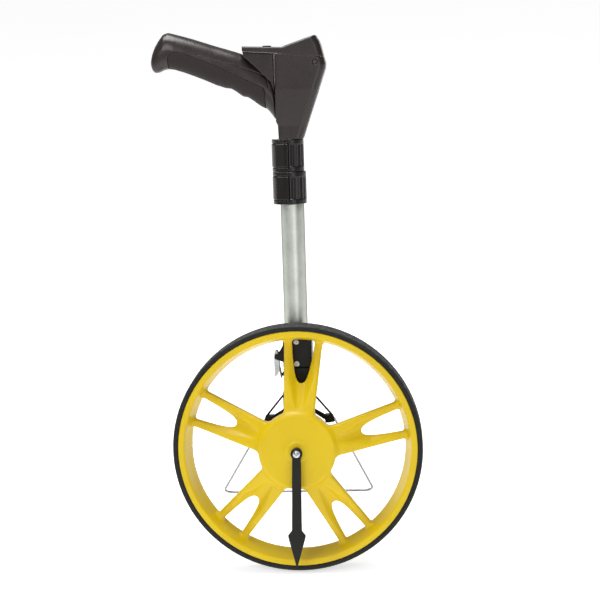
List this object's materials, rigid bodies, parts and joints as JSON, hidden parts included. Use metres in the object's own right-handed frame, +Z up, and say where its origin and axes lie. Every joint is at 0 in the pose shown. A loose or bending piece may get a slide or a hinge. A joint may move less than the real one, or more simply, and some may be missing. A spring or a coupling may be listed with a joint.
{
  "type": "measuring wheel",
  "caption": "Folding telescopic surveyor's measuring wheel on its wire stand: split-spoke wheel, pointer, clamped tube pole and pistol-grip head with counter.",
  "frame": {"origin": "bottom centre of the bounding box, on the ground", "axes": "+Z up, -Y the side the wheel's face looks to, +X to the right of the face"},
  "size_m": [0.332, 0.2722, 0.6729],
  "materials": {
    "wheel_yellow": "moulded yellow plastic, light gloss",
    "tyre_rubber": "black rubber, worn matt tread",
    "black_plastic": "black glass-filled plastic",
    "collar_plastic": "near-black ribbed plastic",
    "head_plastic": "dark warm grey plastic, fine grain",
    "grip_rubber": "soft black rubber",
    "tube_aluminium": "satin drawn tube",
    "steel": "plated steel",
    "board": "green circuit board",
    "window": "clear window",
    "screen": "grey-green segment display",
    "key": "moulded rubber key",
    "cell": "wrapped cell"
  },
  "bodies": {
    "chassis": {"arm": "black_plastic", "axle": "steel", "axle_nut": "steel", "front_spacer": "steel", "rear_spacer": "steel", "front_bearing_inner": "steel", "rear_bearing_inner": "steel", "pointer": "black_plastic", "pointer_screw": "steel", "sensor_housing": "black_plastic", "sensor_board": "board", "stand_bracket": "black_plastic", "bracket_screw_1": "steel", "bracket_screw_2": "steel", "hinge_pin": "steel"},
    "wheel": {"wheel_rim": "wheel_yellow", "wheel_spider": "wheel_yellow", "hub_cap": "wheel_yellow", "tyre": "tyre_rubber", "front_bearing_outer": "steel", "rear_bearing_outer": "steel", "front_bearing_balls": "steel", "rear_bearing_balls": "steel", "magnet_ring": "black_plastic"},
    "stand": {"stand_wire": "steel"},
    "pole": {"upper_bracket": "black_plastic", "tube_rivet": "steel", "block_screw": "steel", "outer_tube": "tube_aluminium", "lower_collar": "collar_plastic", "lower_clamp_pin": "steel"},
    "latch_lever": {"latch_lever": "steel"},
    "latch_bail": {"latch_bail": "steel"},
    "lower_clamp": {"lower_clamp_lever": "collar_plastic"},
    "middle": {"middle_tube": "tube_aluminium", "middle_bush": "black_plastic", "upper_collar": "collar_plastic", "upper_clamp_pin": "steel"},
    "upper_clamp": {"upper_clamp_lever": "collar_plastic"},
    "head": {"inner_tube": "tube_aluminium", "inner_bush": "black_plastic", "head_front": "head_plastic", "head_back": "head_plastic", "head_screw": "steel", "head_cover": "head_plastic", "rear_filler": "head_plastic", "screen_window": "window", "screen": "screen", "main_board": "board", "key_board": "board", "cell_1": "cell", "cell_2": "cell", "handle_front": "head_plastic", "handle_back": "head_plastic", "grip_rubber": "grip_rubber"},
    "key_1": {"key_1": "key"},
    "key_2": {"key_2": "key"},
    "key_3": {"key_3": "key"},
    "door": {"battery_door": "head_plastic"}
  },
  "joints": [
    {"name": "wheel_spin", "type": "hinge", "parent": "chassis", "child": "wheel", "pos_m": [0.00695, -0.07341, 0.15905], "axis": [0, 0.9855, -0.1699], "continuous": true},
    {"name": "stand_swing", "type": "hinge", "parent": "chassis", "child": "stand", "pos_m": [0.00695, -0.01479, 0.17532], "axis": [1, 0, 0], "range_deg": [0, 128]},
    {"name": "pole_fold", "type": "hinge", "parent": "chassis", "child": "pole", "pos_m": [0.02875, -0.05659, 0.25661], "axis": [0, 0.9855, -0.1699], "range_deg": [0, 150]},
    {"name": "latch_lever_turn", "type": "hinge", "parent": "pole", "child": "latch_lever", "pos_m": [-0.01805, -0.02357, 0.26563], "axis": [0, 0.9855, -0.1699], "range_deg": [0, 150]},
    {"name": "latch_bail_turn", "type": "hinge", "parent": "latch_lever", "child": "latch_bail", "pos_m": [-0.01921, -0.02284, 0.26991], "axis": [0, 0.9855, -0.1699], "range_deg": [-127.5, 0]},
    {"name": "lower_clamp_turn", "type": "hinge", "parent": "pole", "child": "lower_clamp", "pos_m": [-0.01225, 0.02533, 0.47623], "axis": [0, 0.1699, 0.9855], "range_deg": [-95, 0]},
    {"name": "upper_clamp_turn", "type": "hinge", "parent": "middle", "child": "upper_clamp", "pos_m": [-0.01225, 0.03233, 0.51683], "axis": [0, 0.1699, 0.9855], "range_deg": [-95, 0]},
    {"name": "middle_slide", "type": "slide", "parent": "pole", "child": "middle", "axis": [0, 0.1699, 0.9855], "range_m": [0, 0.15]},
    {"name": "inner_slide", "type": "slide", "parent": "middle", "child": "head", "axis": [0, 0.1699, 0.9855], "range_m": [0, 0.15]},
    {"name": "key_1_press", "type": "slide", "parent": "head", "child": "key_1", "axis": [0, 0.1699, 0.9855], "range_m": [-0.001, 0], "stiffness_N_per_m": 400},
    {"name": "key_2_press", "type": "slide", "parent": "head", "child": "key_2", "axis": [0, 0.1699, 0.9855], "range_m": [-0.001, 0], "stiffness_N_per_m": 400},
    {"name": "key_3_press", "type": "slide", "parent": "head", "child": "key_3", "axis": [0, 0.1699, 0.9855], "range_m": [-0.001, 0], "stiffness_N_per_m": 400},
    {"name": "door_lift", "type": "slide", "parent": "head", "child": "door", "axis": [0.9451, -0.0555, -0.3221], "range_m": [0, 0.012]}
  ],
  "couplings": [
    {"joint": "latch_bail_turn", "follows": "latch_lever_turn", "ratio": -0.85}
  ]
}
